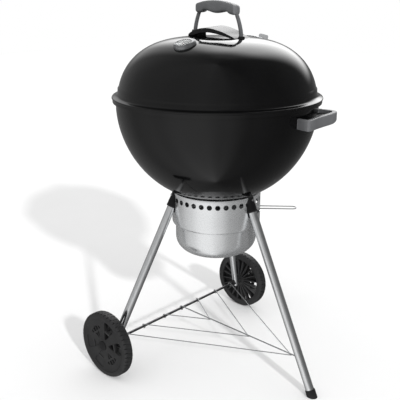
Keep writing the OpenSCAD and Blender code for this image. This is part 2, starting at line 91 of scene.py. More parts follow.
def noise_of(nt, scale, detail=3.0, stretch=(1, 1, 1)):
    co = nt.nodes.new("ShaderNodeTexCoord")
    mp = nt.nodes.new("ShaderNodeMapping")
    mp.inputs["Scale"].default_value = stretch
    no = nt.nodes.new("ShaderNodeTexNoise")
    no.inputs["Scale"].default_value = scale
    no.inputs["Detail"].default_value = detail
    nt.links.new(co.outputs["Object"], mp.inputs["Vector"])
    nt.links.new(mp.outputs["Vector"], no.inputs["Vector"])
    return no.outputs["Fac"]


def ramp(nt, fac, stops):
    r = nt.nodes.new("ShaderNodeValToRGB")
    el = r.color_ramp.elements
    while len(el) < len(stops):
        el.new(0.5)
    for e, (p, c) in zip(el, stops):
        e.position = p
        e.color = (*c, 1)
    nt.links.new(fac, r.inputs["Fac"])
    return r.outputs["Color"]


def span(nt, fac, lo, hi, a=0.3, b=0.7):
    mr = nt.nodes.new("ShaderNodeMapRange")
    mr.inputs["From Min"].default_value = a
    mr.inputs["From Max"].default_value = b
    mr.inputs["To Min"].default_value = lo
    mr.inputs["To Max"].default_value = hi
    nt.links.new(fac, mr.inputs["Value"])
    return mr.outputs["Result"]


def bumped(nt, bsdf, heights):
    """Chains bumps: (height socket, strength, distance in metres)."""
    last = None
    for h, strength, dist in heights:
        b = nt.nodes.new("ShaderNodeBump")
        b.inputs["Strength"].default_value = strength
        b.inputs["Distance"].default_value = dist
        nt.links.new(h, b.inputs["Height"])
        if last is not None:
            nt.links.new(last, b.inputs["Normal"])
        last = b.outputs["Normal"]
    nt.links.new(last, bsdf.inputs["Normal"])


def finish_mat(name, dark, light, rough, metal=0.0, scale=40.0, stretch=(1, 1, 1), grain=900.0,
               bump=0.15, spec=0.5, edge_highlight=None):
    """Colour and roughness that wander between two values, with a fine grain, and an optional painted highlight
    on convex edges.
    """
    m, nt, p = node_tree(name)
    broad = noise_of(nt, scale, 4.0, stretch)
    fine = noise_of(nt, grain, 2.0, stretch)
    colour = ramp(nt, broad, [(0.3, dark), (0.7, light)])
    if edge_highlight:
        # Painted highlight: paler convex edges
        geo = nt.nodes.new("ShaderNodeNewGeometry")
        edge = span(nt, geo.outputs["Pointiness"], 0.0, 1.0, 0.52, 0.6)
        mix = nt.nodes.new("ShaderNodeMix")
        mix.data_type = "RGBA"
        nt.links.new(edge, mix.inputs["Factor"])
        nt.links.new(colour, mix.inputs[6])
        mix.inputs[7].default_value = (*edge_highlight, 1)
        colour = mix.outputs[2]
    nt.links.new(colour, p.inputs["Base Color"])
    nt.links.new(span(nt, fine, rough[0], rough[1]), p.inputs["Roughness"])
    p.inputs["Metallic"].default_value = metal
    p.inputs["Specular IOR Level"].default_value = spec
    bumped(nt, p, [(fine, bump, GRAIN_DEPTH)])
    return m


def enamel_mat():
    """Glossy vitreous enamel: near-black glass with faint orange peel and fine painted glints."""
    m, nt, p = node_tree("enamel-black")
    broad = noise_of(nt, 9.0, 3.0)
    glint_grain = noise_of(nt, 1500.0, 1.0)
    p.inputs["IOR"].default_value = 1.37
    base = ramp(nt, broad, [(0.3, (0.0010, 0.0010, 0.0011)), (0.7, (0.0022, 0.0022, 0.0023))])
    # Painted glints: fine lighter specks added to the base colour
    painted_glint = ramp(nt, glint_grain, [(0.70, (0, 0, 0)), (0.78, (0.012, 0.012, 0.013))])
    total = nt.nodes.new("ShaderNodeMix")
    total.data_type = "RGBA"
    total.blend_type = "ADD"
    total.inputs["Factor"].default_value = 1.0
    nt.links.new(base, total.inputs[6])
    nt.links.new(painted_glint, total.inputs[7])
    nt.links.new(total.outputs[2], p.inputs["Base Color"])
    nt.links.new(span(nt, broad, 0.075, 0.12), p.inputs["Roughness"])
    bumped(nt, p, [(noise_of(nt, 260.0, 2.0), 0.04, GRAIN_DEPTH),
                   (noise_of(nt, 11.0, 1.0), 0.10, PEEL_DEPTH)])
    return m


def glass_mat():
    m, nt, p = node_tree("lens-glass")
    p.inputs["Transmission Weight"].default_value = 1.0
    p.inputs["IOR"].default_value = 1.18
    p.inputs["Base Color"].default_value = (0.95, 0.97, 0.97, 1)
    nt.links.new(span(nt, noise_of(nt, 60.0), 0.22, 0.30), p.inputs["Roughness"])
    return m


ENAMEL = enamel_mat()
# The last colour given to the nylon, black plastic and wheel finishes is a painted highlight on their convex
# edges.
NYLON = finish_mat("nylon-grey", (0.078, 0.080, 0.083), (0.100, 0.102, 0.106), (0.36, 0.5),
                   scale=30, grain=1100, bump=0.22, spec=0.45, edge_highlight=(0.2, 0.2, 0.21))
BLACK_PLASTIC = finish_mat("plastic-black", (0.004, 0.004, 0.0045), (0.008, 0.008, 0.0085), (0.38, 0.55),
                           scale=40, grain=1000, bump=0.25, spec=0.22, edge_highlight=(0.02, 0.02, 0.02))
BLACK_STEEL = finish_mat("steel-black", (0.004, 0.004, 0.0045), (0.008, 0.008, 0.0085), (0.3, 0.45),
                         scale=30, grain=900, bump=0.15, spec=0.12)
TUBE_STEEL = finish_mat("tube-steel", (0.66, 0.67, 0.68), (0.76, 0.77, 0.78), (0.13, 0.22), metal=1.0,
                        scale=22, stretch=(6, 6, 0.6), grain=500, bump=0.05)
WIRE_STEEL = finish_mat("wire-steel", (0.30, 0.305, 0.31), (0.40, 0.405, 0.41), (0.22, 0.34), metal=1.0,
                        scale=60, grain=700, bump=0.08)
GRATE_STEEL = finish_mat("grate-steel", (0.42, 0.42, 0.43), (0.6, 0.6, 0.61), (0.2, 0.42), metal=1.0,
                         scale=35, grain=500, bump=0.12)
DARK_STEEL = finish_mat("dark-steel", (0.10, 0.10, 0.105), (0.19, 0.19, 0.195), (0.35, 0.5), metal=1.0,
                        scale=45, grain=600, bump=0.12)
SCREW_STEEL = finish_mat("screw-steel", (0.45, 0.45, 0.46), (0.62, 0.62, 0.63), (0.2, 0.34), metal=1.0,
                         scale=120, grain=900, bump=0.08)
ASH_ALU = finish_mat("ash-aluminium", (0.74, 0.75, 0.76), (0.78, 0.79, 0.80), (0.23, 0.29), metal=0.88,
                     scale=6, stretch=(0.8, 0.8, 6), grain=180, bump=0.005)
PLATE_ALU = finish_mat("plate-aluminium", (0.52, 0.53, 0.54), (0.64, 0.65, 0.66), (0.25, 0.4), metal=1.0,
                       scale=40, stretch=(1, 6, 1), grain=600, bump=0.06)
BEZEL = finish_mat("bezel-grey", (0.17, 0.175, 0.18), (0.23, 0.235, 0.24), (0.25, 0.36), metal=0.75,
                   scale=50, grain=800, bump=0.08)
DIAL = finish_mat("dial-white", (0.20, 0.20, 0.198), (0.25, 0.25, 0.247), (0.35, 0.5), scale=60, bump=0.05)
NEEDLE = finish_mat("needle-red", (0.10, 0.010, 0.008), (0.14, 0.012, 0.010), (0.3, 0.4), scale=80, bump=0.05)
# Its last colour is a painted highlight on the wheel's convex edges.
WHEEL = finish_mat("wheel-plastic", (0.012, 0.012, 0.0125), (0.020, 0.020, 0.0205), (0.42, 0.6),
                   scale=25, grain=700, bump=0.25, spec=0.30, edge_highlight=(0.035, 0.035, 0.036))
GLASS = glass_mat()
SHIELD_BLACK = finish_mat("shield-black", (0.005, 0.005, 0.0055), (0.010, 0.010, 0.0105), (0.24, 0.34),
                          scale=26, stretch=(1, 5, 1), grain=700, bump=0.05, spec=0.16)
TAB_GREY = finish_mat("tab-grey", (0.26, 0.265, 0.27), (0.33, 0.335, 0.34), (0.36, 0.5), scale=60, grain=1100,
                      bump=0.15, spec=0.4)


# ---------------------------------------------------------------- mesh tools
def add(name, verts, faces, mat, body, replaces=(), slot=None, sharp=32.0):
    me = bpy.data.meshes.new(name)
    me.from_pydata([tuple(v) for v in verts], [], faces)
    me.validate()
    bm = bmesh.new()
    bm.from_mesh(me)
    bmesh.ops.remove_doubles(bm, verts=bm.verts, dist=1e-6)
    bmesh.ops.recalc_face_normals(bm, faces=bm.faces)
    bm.to_mesh(me)
    bm.free()
    ob = bpy.data.objects.new(name, me)
    bpy.context.scene.collection.objects.link(ob)
    me.materials.append(mat)
    shade(me, sharp)
    if body:
        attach(ob, body)
    if replaces:
        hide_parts(*replaces)
    return ob


def shade(me, sharp):
    me.polygons.foreach_set("use_smooth", [True] * len(me.polygons))
    me.set_sharp_from_angle(angle=math.radians(sharp))


def cut(ob, cutters, sharp=32.0):
    """Subtracts the cutters' meshes from ob and removes them."""
    for c in cutters:
        md = ob.modifiers.new("cut", "BOOLEAN")
        md.operation = "DIFFERENCE"
        md.solver = "EXACT"
        md.object = c
    dg = bpy.context.evaluated_depsgraph_get()
    me = bpy.data.meshes.new_from_object(ob.evaluated_get(dg))
    old, ob.data = ob.data, me
    me.name = old.name + "-cut"
    ob.modifiers.clear()
    for c in cutters:
        bpy.data.objects.remove(c)
    shade(me, sharp)


def soften(ob, width):
    md = ob.modifiers.new("soft", "BEVEL")
    md.width = width
    md.segments = 3
    md.limit_method = "ANGLE"
    md.angle_limit = math.radians(30)
    md.harden_normals = False


def lathe(profile, segs=192, centre=(0, 0), closed=False):
    """Revolves (r, z) points about the vertical through centre."""
    verts, faces = [], []
    n = len(profile)
    for i in range(segs):
        a = 2 * PI * i / segs
        for r, z in profile:
            verts.append((centre[0] + r * COS(a), centre[1] + r * SIN(a), z))
    last = n if closed else n - 1
    for i in range(segs):
        j = (i + 1) % segs
        for k in range(last):
            q = (k + 1) % n
            faces.append((i * n + k, j * n + k, j * n + q, i * n + q))
    return verts, faces


def placed(geo, matrix):
    return [matrix @ Vector(v) for v in geo[0]], geo[1]


def joined(*geos):
    verts, faces = [], []
    for v, f in geos:
        base = len(verts)
        verts += list(v)
        faces += [tuple(i + base for i in q) for q in f]
    return verts, faces


def prism(outline, z0, z1):
    """Closed solid between two levels over a plan outline."""
    n = len(outline)
    verts = [(x, y, z0) for x, y in outline] + [(x, y, z1) for x, y in outline]
    faces = [tuple(range(n - 1, -1, -1)), tuple(range(n, 2 * n))]
    faces += [(i, (i + 1) % n, n + (i + 1) % n, n + i) for i in range(n)]
    return verts, faces


def rounded(w, d, r, n=4):
    """Outline of a rounded rectangle centred on the origin."""
    pts = []
    for cx, cy, a0 in ((1, 1, 0), (-1, 1, 90), (-1, -1, 180), (1, -1, 270)):
        for i in range(n + 1):
            a = math.radians(a0 + 90 * i / n)
            pts.append((cx * (w / 2 - r) + r * COS(a), cy * (d / 2 - r) + r * SIN(a)))
    return pts


def disc_profile(r, z0, z1, soft=0.0004):
    """Profile of a flat cylinder with broken edges."""
    return [(0.0, z0), (r - soft, z0), (r, z0 + soft), (r, z1 - soft), (r - soft, z1), (0.0, z1)]


def sweep(path, section, scale, up=Vector((0, 0, 1))):
    """Sweeps a closed 2-D section along a path; section x lies sideways, y along up."""
    verts, faces = [], []
    n, m = len(path), len(section)
    for i, p in enumerate(path):
        t = (path[min(i + 1, n - 1)] - path[max(i - 1, 0)]).normalized()
        side = t.cross(up).normalized()
        top = side.cross(t).normalized()
        sx, sy = scale(i / (n - 1))
        verts += [p + side * (x * sx) + top * (y * sy) for x, y in section]
    for i in range(n - 1):
        for k in range(m):
            q = (k + 1) % m
            faces.append((i * m + k, i * m + q, (i + 1) * m + q, (i + 1) * m + k))
    faces.append(tuple(range(m - 1, -1, -1)))
    faces.append(tuple((n - 1) * m + k for k in range(m)))
    return verts, faces


def circle(r, n=24):
    return [(r * COS(2 * PI * i / n), r * SIN(2 * PI * i / n)) for i in range(n)]


def smooth_path(points, per=8):
    """Catmull-Rom through the points."""
    pts = [Vector(p) for p in points]
    pts = [2 * pts[0] - pts[1]] + pts + [2 * pts[-1] - pts[-2]]
    out = []
    for i in range(1, len(pts) - 2):
        a, b, c, d = pts[i - 1 : i + 3]
        for k in range(per):
            t = k / per
            out.append(0.5 * ((2 * b) + (c - a) * t + (2 * a - 5 * b + 4 * c - d) * t * t
                              + (3 * b - a - 3 * c + d) * t ** 3))
    out.append(pts[-2])
    return out


def curve_profile(r, z0, h, m, k, n, sign=1):
    """Superellipse from the axis to its equator."""
    pts = []
    for i in range(n + 1):
        t = PI / 2 * (i / n)
        pts.append((r * SIN(t) ** (2 / m), z0 + sign * h * COS(t) ** (2 / k)))
    return pts


# ---------------------------------------------------------------- bowl and lid
def bowl_curve():
    """The bowl's outer skin, from its bottom to its equator."""
    return curve_profile(BOWL_R, BOWL_TOP, BOWL_DEPTH, BOWL_M, BOWL_K, 84, -1)


def bowl_profile():
    out = bowl_curve()
    rim = [(0.2816, 0.7870), (0.2816, 0.7920), (0.2816, 0.7965), (0.2822, 0.7983)]
    bead, bead_r = (0.2841, 0.8020), 0.0027
    rim += [(bead[0] + bead_r * COS(a), bead[1] + bead_r * SIN(a))
            for a in [math.radians(d) for d in range(-80, 171, 25)]]
    inner = [(x * (BOWL_R - SHEET) / BOWL_R, BOWL_TOP + (z - BOWL_TOP) * (BOWL_DEPTH - SHEET) / BOWL_DEPTH)
             for x, z in reversed(out)]
    return out + rim + [(0.2796, 0.8000), (0.2796, 0.7940), (0.2796, 0.7880)] + inner


def cylinder_at(matrix, r, z0, z1, n=48):
    v, f = prism(circle(r, n), z0, z1)
    return placed((v, f), matrix)


def cutter(geo):
    return add("cutter", geo[0], geo[1], ENAMEL, None)


bowl = add("bowl", *lathe(bowl_profile(), 240, (0, AXIS_Y)), ENAMEL, "stand", ["bowl_shell"], "black_enamel", 50)
VENT_IN, VENT_OUT, VENT_SPAN = 0.055, 0.110, 0.4538  # radii, and the angle that one vent spans in radians
vents = []
for k in range(3):
    a0 = math.radians(24 + 120 * k)
    outline = []
    for r, order in ((VENT_IN, range(11)), (VENT_OUT, range(10, -1, -1))):
        for i in order:
            a = a0 + VENT_SPAN * i / 10
            outline.append((r * COS(a), AXIS_Y + r * SIN(a)))
    vents.append(cutter(prism(outline, 0.495, 0.56)))
vents.append(cutter(cylinder_at(Matrix.Translation((0, AXIS_Y, 0)), 0.006, 0.49, 0.53)))
cut(bowl, vents, 50)

lid_out = [p for p in curve_profile(LID_R, LID_BASE, LID_RISE, LID_M, LID_K, 84) if p[1] > RIM_LEVEL]
lid_flange = [(0.27520, 0.8320), (0.27545, 0.8280), (0.27575, 0.8240), (0.27615, 0.8205), (0.27690, 0.8176),
              (0.27810, 0.8152), (0.28000, 0.8134), (0.28250, 0.8121), (0.28550, 0.8111), (0.28800, 0.8103),
              (0.28970, 0.8097)]
lid_bead = [(0.2903 + 0.0022 * COS(a), 0.8066 + 0.0029 * SIN(a))
            for a in [math.radians(d) for d in range(80, -81, -16)]]
lid_skirt = [(0.2905, 0.8036), (0.2905, 0.8000), (0.2905, 0.7962), (0.2902, 0.7951), (0.2896, 0.7950),
             (0.2891, 0.7958), (0.2890, 0.8000), (0.2889, 0.8060), (0.2880, 0.8080), (0.2860, 0.8089),
             (0.2825, 0.8101), (0.2795, 0.8118), (0.2772, 0.8142), (0.2758, 0.8170), (0.2748, 0.8205),
             (0.2741, 0.8250), (0.2737, 0.8300)]
lid_in = [p for p in curve_profile(LID_R - SHEET, LID_BASE, LID_RISE - SHEET, LID_M, LID_K, 84)
          if p[1] > RIM_LEVEL]
lid = add("lid", *lathe(lid_out + lid_flange + lid_bead + lid_skirt + lid_in[::-1], 240, (0, AXIS_Y)), ENAMEL,
          "lid", ["lid_shell"], "black_enamel", 50)
DAMPER = lid_frame(0.165, 0.0)
THERMO = lid_frame(0.160, math.radians(-171))
holes = [cutter(cylinder_at(DAMPER @ Matrix.Rotation(math.radians(90 * k), 4, "Z")
                            @ Matrix.Translation((HOLE_RING, 0, 0)), HOLE_R, -0.02, 0.02)) for k in range(4)]
cut(lid, holes, 50)


# ---------------------------------------------------------------- lid handle
def lean(y):
    """The handle stands a touch higher on its left end."""
    return 0.03 * y


def grip_geo():
    """Lofted grip: arched top, two deep ends and a scalloped underside."""
    half, rows, m = 0.0708, 61, 28
    verts, faces = [], []
    for i in range(rows):
        u = -1 + 2 * i / (rows - 1)
        y = half * u
        top = 1.0615 - 0.0110 * abs(u) ** 2.2
        v = abs(u)
        # Underside: a shallow arch in the middle, a notch, then the deep ends
        if v < 0.55:
            low = 1.0310 - 0.0027 * COS(PI * v / 0.55)
        elif v < 0.74:
            t = (v - 0.55) / 0.19
            low = 1.0337 - 0.0060 * (3 * t * t - 2 * t ** 3)
        else:
            low = 1.0277 - 0.0012 * SIN(PI * (v - 0.74) / 0.26)
        end = max(0.0, (v - 0.93) / 0.07)
        round_in = math.sqrt(max(0.0, 1 - end * end)) if end else 1.0
        mid, hh = (top + low) / 2, (top - low) / 2 * (0.72 + 0.28 * round_in)
        hw = 0.0132 * (0.62 + 0.38 * round_in)
        for k in range(m):
            a = 2 * PI * k / m
            cx, sz = COS(a), SIN(a)
            verts.append(K(hw * math.copysign(abs(cx) ** 0.55, cx), y + 0.0015,
                           mid + lean(y) + hh * math.copysign(abs(sz) ** 0.55, sz)))
    for i in range(rows - 1):
        for k in range(m):
            q = (k + 1) % m
            faces.append((i * m + k, i * m + q, (i + 1) * m + q, (i + 1) * m + k))
    faces.append(tuple(range(m)))
    faces.append(tuple((rows - 1) * m + k for k in range(m)))
    return verts, faces


add("lid-grip", *grip_geo(), NYLON, "lid", ["lid_handle_grip"], "grey_plastic", 40)
arms = []
for s in (-1, 1):
    path = smooth_path([K(0, s * 0.0830, 0.953), K(0, s * 0.0828, 0.968),
                        K(0, s * 0.0820, 0.982 + lean(s * 0.04)),
                        K(0, s * 0.0785, 0.998 + lean(s * 0.06)), K(0, s * 0.0735, 1.013 + lean(s * 0.075)),
                        K(0, s * 0.0680, 1.026 + lean(s * 0.08)),
                        K(0, s * 0.0630, 1.038 + lean(s * 0.08))], 6)
    arms.append(sweep(path, circle(0.0054, 28), lambda u: (1.1 - 0.16 * u, 1.0 - 0.1 * u), Vector((1, 0, 0))))
add("lid-arms", *joined(*arms), NYLON, "lid", ["lid_handle_rod"], "grey_plastic", 40)

blocks = []
for s, h in ((1, 0.0155), (-1, 0.0045)):
    prof = [(0.0055, 0.963), (0.0092, 0.963), (0.0092, 0.9665), (0.0088, 0.9665 + h * 0.6),
            (0.0080, 0.9665 + h * 0.95), (0.0072, 0.9665 + h), (0.0055, 0.9665 + h)]
    blocks.append(lathe(prof, 40, (0, AXIS_Y + s * 0.084), closed=True))
add("lid-foot-blocks", *joined(*blocks), BLACK_PLASTIC, "lid", ["lid_foot_block"], "black_plastic", 40)


SHIELD = [  # y, near edge's height, far edge's height, depth of the near lip
    (0.0800, 0.9640, 0.9640, 0.0006), (0.0800, 0.9690, 0.9735, 0.0030), (0.0775, 0.9730, 0.9800, 0.0060),
    (0.0700, 0.9778, 0.9858, 0.0090), (0.0542, 0.9837, 0.9890, 0.0112), (0.0356, 0.9884, 0.9918, 0.0114),
    (0.0173, 0.9899, 0.9942, 0.0114), (-0.0044, 0.9894, 0.9924, 0.0112), (-0.0382, 0.9833, 0.9842, 0.0092),
    (-0.0609, 0.9766, 0.9745, 0.0072), (-0.0767, 0.9715, 0.9690, 0.0056), (-0.0870, 0.9672, 0.9655, 0.0030),
    (-0.0915, 0.9645, 0.9638, 0.0010)]


def shield_geo():
    """Arched sheet with both long edges turned down and both ends bent down to the lid."""
    rows = []
    for i in range(len(SHIELD) - 1):
        seg = SHIELD[max(i - 1, 0)], SHIELD[i], SHIELD[i + 1], SHIELD[min(i + 2, len(SHIELD) - 1)]
        for k in range(6):
            t = k / 6
            rows.append([0.5 * (2 * b_ + (c_ - a_) * t + (2 * a_ - 5 * b_ + 4 * c_ - d_) * t * t
                                + (3 * b_ - a_ - 3 * c_ + d_) * t ** 3) for a_, b_, c_, d_ in zip(*seg)])
    rows.append(list(SHIELD[-1]))
    verts, faces = [], []
    x0, x1, th = -0.0315, 0.0375, 0.0014
    n = len(rows)
    for i, (y, zn, zf, lip) in enumerate(rows):
        p, q = rows[max(i - 1, 0)], rows[min(i + 1, n - 1)]
        ty, tz = q[0] - p[0], (q[1] + q[2] - p[1] - p[2]) / 2
        ln = math.hypot(ty, tz) or 1.0
        ny, nz = tz / ln, -ty / ln
        lip = max(lip, 0.0016)
        far = max(0.0034, 0.9 * lip)
        loop = [(x0 - 0.0012, -lip), (x0 - 0.0010, -0.0012), (x0, -0.0002)]
        loop += [(x0 + (x1 - x0) * k / 6, 0.0) for k in range(1, 6)]
        loop += [(x1, -0.0002), (x1 + 0.0008, -0.0012), (x1 + 0.0009, -far), (x1 - 0.0005, -far),
                 (x1 - 0.0006, -0.0020)]
        loop += [(x0 + (x1 - x0) * k / 6, -th) for k in range(5, 0, -1)]
        loop += [(x0 + 0.0004, -0.0020), (x0 + 0.0002, -lip)]
        for x, d in loop:
            f = (x - x0) / (x1 - x0)
            z = zn + (zf - zn) * f
            verts.append(K(x, y + ny * d, z + nz * d))
    m = len(loop)
    for i in range(n - 1):
        for k in range(m):
            q = (k + 1) % m
            faces.append((i * m + k, i * m + q, (i + 1) * m + q, (i + 1) * m + k))
    faces.append(tuple(range(m)))
    faces.append(tuple((n - 1) * m + k for k in range(m)))
    return verts, faces


add("heat-shield", *shield_geo(), SHIELD_BLACK, "lid", ["lid_heat_shield"], "black_enamel", 40)


# ---------------------------------------------------------------- thermometer
def bezel_geo():
    """Rounded housing, drawn out into a soft tip on one side."""
    levels = [(-0.0105, 0.985, 1.0), (0.0, 1.0, 1.0), (0.0030, 1.0, 1.0), (0.0058, 0.975, 0.92),
              (0.0078, 0.93, 0.72),
              (0.0092, 0.87, 0.42), (0.0096, 0.82, 0.18), (0.0092, 0.785, 0.05), (0.0080, 0.765, 0.0),
              (0.0050, 0.760, 0.0)]
    n = 96
    verts, faces = [], []
    tip = math.radians(145)
    for z, s, t in levels:
        for i in range(n):
            a = 2 * PI * i / n
            d = (a - tip + PI) % (2 * PI) - PI
            push = 0.0085 * t * math.exp(-(d / 0.52) ** 2)
            r = 0.0262 * s + push
            verts.append((r * COS(a), r * SIN(a), z))
    for j in range(len(levels) - 1):
        for i in range(n):
            q = (i + 1) % n
            faces.append((j * n + i, j * n + q, (j + 1) * n + q, (j + 1) * n + i))
    faces.append(tuple(range(n)))
    faces.append(tuple((len(levels) - 1) * n + i for i in range(n)))
    return verts, faces


add("thermometer-bezel", *placed(bezel_geo(), THERMO), BEZEL, "lid", ["thermometer_case"],
    "plate_aluminium", 35)
add("thermometer-face", *placed(lathe(disc_profile(0.0203, 0.0051, 0.0058), 64), THERMO), DIAL, "lid",
    ["thermometer_dial"], "dial_face", 35)
ticks = []
for i in range(31):
    a = math.radians(-150 + 10 * i)
    ln = 0.0036 if i % 5 == 0 else 0.0020
    bar = placed(prism(rounded(ln, 0.0005, 0.0001, 1), 0.00582, 0.0060),
                 THERMO @ Matrix.Rotation(a, 4, "Z") @ Matrix.Translation((0.0180 - ln / 2, 0, 0)))
    ticks.append(bar)
add("thermometer-ticks", *joined(*ticks), BEZEL, "lid", (), "dial_face", 35)
dome = [(0.0, 0.0112)] + [(0.0205 * SIN(math.radians(d)), 0.0082 + 0.0030 * COS(math.radians(d)))
                          for d in range(6, 91, 7)] + [(0.0205, 0.0078), (0.0, 0.0078)]
add("thermometer-lens", *placed(lathe(dome, 64), THERMO), GLASS, "lid", ["thermometer_lens"],
    "lens_glass", 35)

# ---------------------------------------------------------------- damper
dd = [(0.0027, 0.0017), (0.0300, 0.0012), (0.0325, 0.0006), (0.0333, 0.0008), (0.0335, 0.0018),
      (0.0326, 0.0026),
      (0.0300, 0.0029), (0.0120, 0.0035), (0.0090, 0.0048), (0.0027, 0.0049)]
damper = add("damper-disc", *placed(lathe(dd, 96, closed=True), DAMPER), PLATE_ALU, "damper",
             ["lid_damper_disc"], "plate_aluminium", 40)
holes = [cutter(cylinder_at(DAMPER @ Matrix.Rotation(math.radians(90 * k), 4, "Z")
                            @ Matrix.Translation((HOLE_RING, 0, 0)), HOLE_R, -0.001, 0.008))
         for k in range(4)]
cut(damper, holes, 40)
tab_m = DAMPER @ Matrix.Rotation(math.radians(-45), 4, "Z") @ Matrix.Rotation(PI / 2, 4, "X")
fin = [(0.0088, 0.0034), (0.0358, 0.0034), (0.0362, 0.0060)]
for middle, turns in ((0.0307, range(0, 91, 15)), (0.0139, range(90, 181, 15))):
    fin += [(middle + 0.0055 * COS(math.radians(d)), 0.0142 + 0.0055 * SIN(math.radians(d))) for d in turns]
fin += [(0.0084, 0.0060)]
tab = add("damper-tab", *placed(prism(fin, -0.0024, 0.0024), tab_m), TAB_GREY, "damper", ["lid_damper_tab"],
          "grey_plastic", 35)
soften(tab, 0.0011)


# ---------------------------------------------------------------- bowl handles
HANDLE_EDGE = [(0.270, -0.0815), (0.284, -0.0865), (0.2965, -0.0898), (0.3040, -0.0890), (0.3080, -0.0790),
               (0.3110, -0.0500), (0.3160, -0.0150), (0.3225, 0.0200), (0.3262, 0.0460), (0.3262, 0.0650),
               (0.3205, 0.0800), (0.3090, 0.0895), (0.2900, 0.0935), (0.2660, 0.0940)]


def handle_geo():
    """Loop handle swept along the plan of its outer edge, with its reach along +X."""
    path = smooth_path([(x, y, 0.7785) for x, y in HANDLE_EDGE], 7)
    section = [(x - 0.0070, y - 0.0150) for x, y in rounded(0.0140, 0.0300, 0.0032, 4)]

    def taper(u):
        t = min(1.0, max(0.0, (u - 0.58) / 0.30))
        return 1.0, (0.90 + 0.08 * SIN(PI * u)) * (1 - 0.40 * t * t * (3 - 2 * t))

    return sweep(path, section, taper)


def handle(name, angle, node, plate):
    rot = Matrix.Translation((0, AXIS_Y, 0)) @ Matrix.Rotation(math.radians(angle), 4, "Z")
    ob = add(name, *placed(handle_geo(), rot), NYLON, "stand", [node], "grey_plastic", 35)
    gap = 0.0002
    wall = [(x + gap, z) for x, z in bowl_curve() if z > 0.72]
    inside = lathe([(0.0, 0.70), (wall[0][0], 0.70)] + wall + [(BOWL_R + gap, 0.80), (0.0, 0.80)], 240,
                   (0, AXIS_Y))
    cut(ob, [cutter(inside)], 35)
    # Black tray that closes the loop, a little below the bar's top
    edge = [(x - 0.0135, y * 0.875) for x, y in HANDLE_EDGE[3:12]]
    outline = [(0.262, -0.0720), (0.282, -0.0735)] + edge + [(0.284, 0.0785), (0.262, 0.0785)]
    tray = add(plate, *placed(prism(outline, 0.7668, 0.7692), rot), BLACK_STEEL, "stand",
               [plate.replace("-", "_")], "black_steel", 35)
    cut(tray, [cutter(inside)], 35)
    steps, section = 32, ((0.2816, 0.752), (0.2846, 0.752), (0.2846, 0.7672), (0.2819, 0.7672))
    verts, faces = [], []
    for i in range(steps + 1):
        t = math.radians(-12.5 + 25 * i / steps)
        verts += [(r * COS(t), r * SIN(t), z) for r, z in section]
    for i in range(steps):
        for k in range(4):
            q = (k + 1) % 4
            faces.append((i * 4 + k, i * 4 + q, (i + 1) * 4 + q, (i + 1) * 4 + k))
    end = 4 * steps
    faces += [(0, 1, 2, 3), (end + 3, end + 2, end + 1, end)]
    add(name + "-strap", *placed((verts, faces), rot), BLACK_STEEL, "stand", (), "black_steel", 35)


handle("bowl-handle-front", -76, "bowl_handle_front", "handle-plate-front")
handle("bowl-handle-rear", 95, "bowl_handle_rear", "handle-plate-rear")

# ---------------------------------------------------------------- legs
LEGS = {  # top, foot, and how far the tube stops short of the foot
    "front": (K(0, -0.125, FOOT_TOP), K(0, -FOOT_R, 0.0), 0.010),
    "right": (K(0.108253, 0.0625, FOOT_TOP), K(0.2767, AXLE_BACK, AXLE_Z), -0.010),
    "left": (K(-0.108253, 0.0625, FOOT_TOP), K(-0.2767, AXLE_BACK, AXLE_Z), -0.010)}
LEG_START = -0.0215
collars, buttons = [], []
for name, (top, foot, short) in LEGS.items():
    m = line_frame(top, foot)
    length = (foot - top).length - short
    ri = TUBE_R - 0.0015
    prof = [(TUBE_R, LEG_START + (length + 0.0209) * k / 32) for k in range(33)]
    prof += [(TUBE_R - 0.0006, length), (ri + 0.0003, length), (ri, length - 0.0004), (ri, LEG_START)]
    add("leg-" + name, *placed(lathe(prof, 64, closed=True), m), TUBE_STEEL, "stand", ["leg_" + name],
        "leg_steel", 35)
    # Moulded collar: rounded mouth, waist and a skirt that widens upwards
    cp = [(0.0121, 0.0255), (0.0150, 0.0260), (0.0156, 0.0252), (0.0157, 0.0225), (0.0150, 0.0212),
          (0.0150, 0.0080), (0.0146, 0.0070), (0.0144, -0.0080), (0.0147, -0.0140), (0.0152, -0.0240),
          (0.0156, -0.0420),
          (0.0121, -0.0420)]
    collars.append(placed(lathe(cp, 56, closed=True), m))
    drop = foot - top
    outward = Vector((drop.x, drop.y, 0)).normalized()
    axis = drop.normalized()
    side = (outward - axis * outward.dot(axis)).normalized()
    spot = (Matrix.Translation(top + axis * -0.007 + side * 0.0143)
            @ side.to_track_quat("Z", "Y").to_matrix().to_4x4())
    button = [(0.0, -0.001), (0.0037, -0.001), (0.0037, 0.0012), (0.0030, 0.0021), (0.0016, 0.0026),
              (0.0, 0.0027)]
    buttons.append(placed(lathe(button, 28), spot))
collar = add("leg-collars", *joined(*collars), BLACK_PLASTIC, "stand", ["leg_collars"], "black_plastic", 35)
under = [(x + 0.0003, z - 0.0003) for x, z in bowl_curve()[1:] if z < 0.62]
cut(collar, [cutter(lathe([(0.0, 0.5121)] + under + [(0.0, 0.62)], 240, (0, AXIS_Y)))], 35)
add("leg-buttons", *joined(*buttons), SCREW_STEEL, "stand", ["leg_buttons"], "screw_steel", 35)


